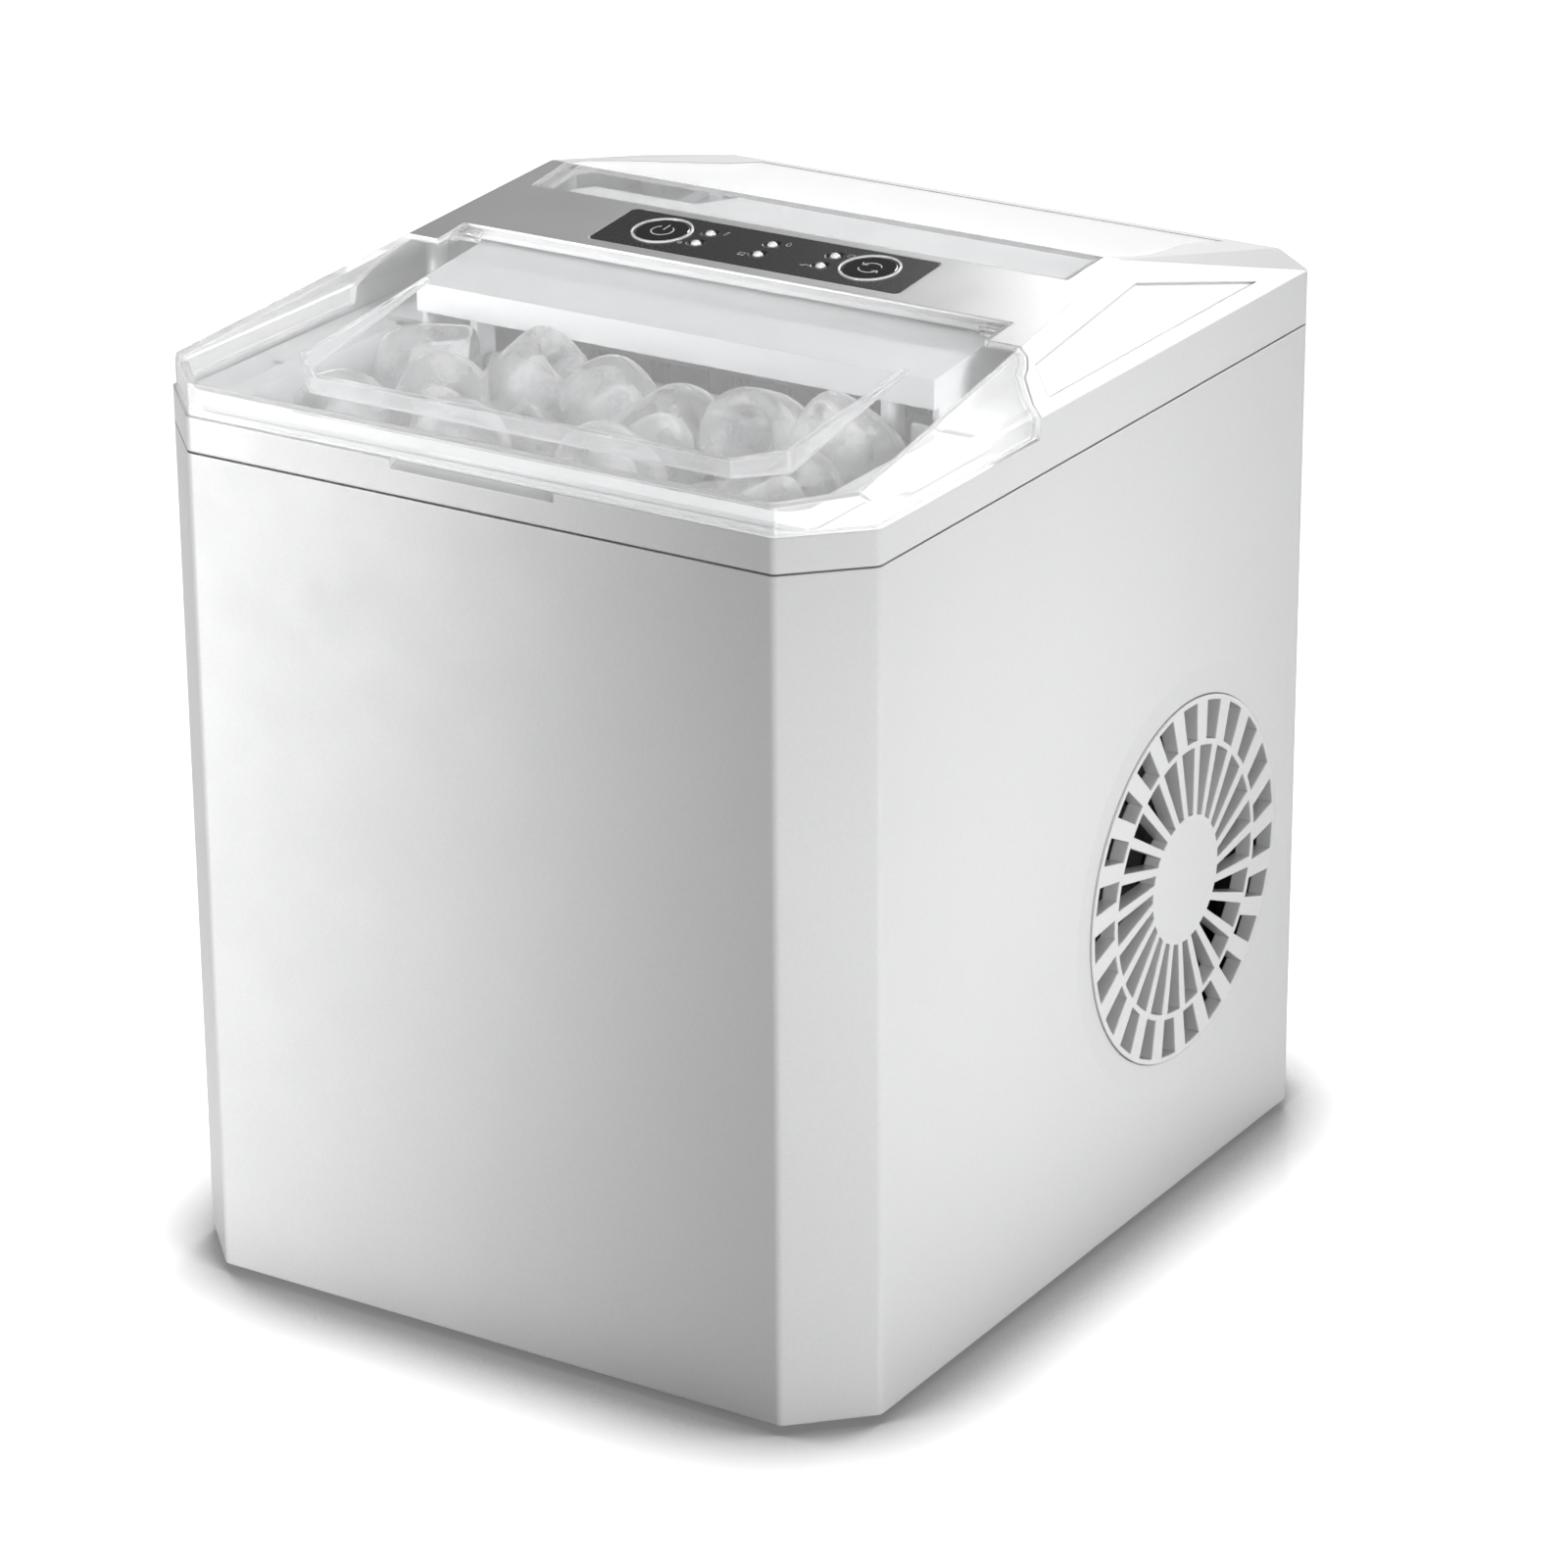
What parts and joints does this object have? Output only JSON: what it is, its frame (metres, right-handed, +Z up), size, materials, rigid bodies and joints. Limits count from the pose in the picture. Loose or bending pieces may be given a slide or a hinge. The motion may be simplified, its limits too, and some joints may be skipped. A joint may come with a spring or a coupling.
{
  "type": "ice maker",
  "caption": "Countertop bullet-ice maker: cut-corner cabinet, sloping roof, hinged clear ice lid, button panel, basket, freezing fingers, tilting tray, compressor, condenser and side fan.",
  "frame": {"origin": "middle of the footprint, on the surface the feet stand on", "axes": "+Z up; -Y the front, where the ice lid opens; +X the side with the fan outlet"},
  "size_m": [0.236, 0.286, 0.2961],
  "materials": {
    "silver_shell": "satin",
    "silver_cover": "satin metallic",
    "grey_panel": "fine grain",
    "screw_steel": "bright zinc",
    "black_nylon": "moulded",
    "galvanised": "spangled zinc",
    "foot_rubber": "matt",
    "clear_window": "clear moulded",
    "clear_lid": "clear moulded",
    "pin_steel": "ground",
    "black_overlay": "gloss",
    "ring_chrome": "polished",
    "black_button": "gloss",
    "led_white": "milky",
    "board_green": "solder mask",
    "switch_steel": "pressed",
    "white_liner": "moulded",
    "foam": "foamed",
    "basket_grey": "moulded",
    "hood_white": "moulded",
    "nickel": "nickel plated",
    "bracket_steel": "pressed",
    "tray_white": "moulded",
    "motor_black": "moulded",
    "pusher_white": "moulded",
    "sensor_black": "moulded",
    "pump_black": "moulded",
    "impeller_white": "moulded",
    "hose_silicone": "milky silicone",
    "spout_grey": "moulded",
    "plug_grey": "moulded",
    "seal_rubber": "matt",
    "compressor_black": "gloss black",
    "fin_aluminium": "bright",
    "copper": "drawn copper",
    "pipe_sleeve": "foam sleeve",
    "valve_brass": "turned",
    "silver_grille": "satin metallic",
    "shroud_black": "moulded",
    "fan_motor_black": "moulded",
    "fan_black": "moulded",
    "box_grey": "moulded"
  },
  "bodies": {
    "cabinet": {"outer_wrap": "silver_shell", "rear_panel": "grey_panel", "rear_panel_screws": "screw_steel", "power_gland": "black_nylon", "base_pan": "galvanised", "rubber_feet": "foot_rubber", "foot_screws": "screw_steel", "top_cover": "silver_cover", "cover_screws": "screw_steel", "rear_window": "clear_window", "hinge_pins": "pin_steel", "control_overlay": "black_overlay", "button_rings": "ring_chrome", "indicator_leds": "led_white", "control_board": "board_green", "board_screws": "screw_steel", "tact_switches": "switch_steel", "inner_tub": "white_liner", "insulation": "foam", "ice_basket": "basket_grey", "evaporator_hood": "hood_white", "evaporator_manifold": "nickel", "freezing_fingers": "nickel", "evaporator_bracket": "bracket_steel", "tray_motor": "motor_black", "ice_level_sensors": "sensor_black", "water_pump": "pump_black", "water_hose": "hose_silicone", "drain_spout": "spout_grey", "compressor": "compressor_black", "compressor_grommets": "foot_rubber", "compressor_bolts": "screw_steel", "condenser_fins": "fin_aluminium", "condenser_coil": "copper", "discharge_line": "copper", "filter_drier": "copper", "drier_inlet_line": "copper", "capillary_line": "copper", "suction_line": "pipe_sleeve", "hot_gas_valve": "valve_brass", "fan_grille": "silver_grille", "fan_shroud": "shroud_black", "fan_motor": "fan_motor_black", "electronics_box": "box_grey"},
    "lid": {"ice_lid": "clear_lid"},
    "power_key": {"power_button": "black_button"},
    "select_key": {"select_button": "black_button"},
    "fan": {"fan_rotor": "fan_black"},
    "tray": {"water_tray": "tray_white", "tray_shaft": "pin_steel"},
    "pusher": {"ice_pusher": "pusher_white", "pusher_rod": "pin_steel"},
    "impeller": {"pump_impeller": "impeller_white"},
    "plug": {"drain_plug": "plug_grey", "drain_seal": "seal_rubber"}
  },
  "joints": [
    {"name": "lid_hinge", "type": "hinge", "parent": "cabinet", "child": "lid", "pos_m": [0, -0.0144, 0.28801], "axis": [-1, 0, 0], "range_deg": [0, 100]},
    {"name": "power_button_press", "type": "slide", "parent": "cabinet", "child": "power_key", "axis": [0, 0.0971, -0.9953], "range_m": [0, 0.0008], "stiffness_N_per_m": 1500},
    {"name": "select_button_press", "type": "slide", "parent": "cabinet", "child": "select_key", "axis": [0, 0.0971, -0.9953], "range_m": [0, 0.0008], "stiffness_N_per_m": 1500},
    {"name": "fan_spin", "type": "hinge", "parent": "cabinet", "child": "fan", "pos_m": [0.085, 0.054, 0.1024], "axis": [1, 0, 0], "continuous": true},
    {"name": "tray_tilt", "type": "hinge", "parent": "cabinet", "child": "tray", "pos_m": [0, 0.026, 0.246], "axis": [1, 0, 0], "range_deg": [0, 60]},
    {"name": "pusher_swing", "type": "hinge", "parent": "cabinet", "child": "pusher", "pos_m": [0, -0.0365, 0.258], "axis": [1, 0, 0], "range_deg": [-45, 0]},
    {"name": "impeller_spin", "type": "hinge", "parent": "cabinet", "child": "impeller", "pos_m": [0.03, -0.06, 0.02], "axis": [0, 0, 1], "continuous": true},
    {"name": "drain_plug_pull", "type": "slide", "parent": "cabinet", "child": "plug", "axis": [-1, 0, 0], "range_m": [0, 0.014]}
  ],
  "couplings": [
    {"joint": "pusher_swing", "follows": "tray_tilt", "ratio": -0.75}
  ]
}
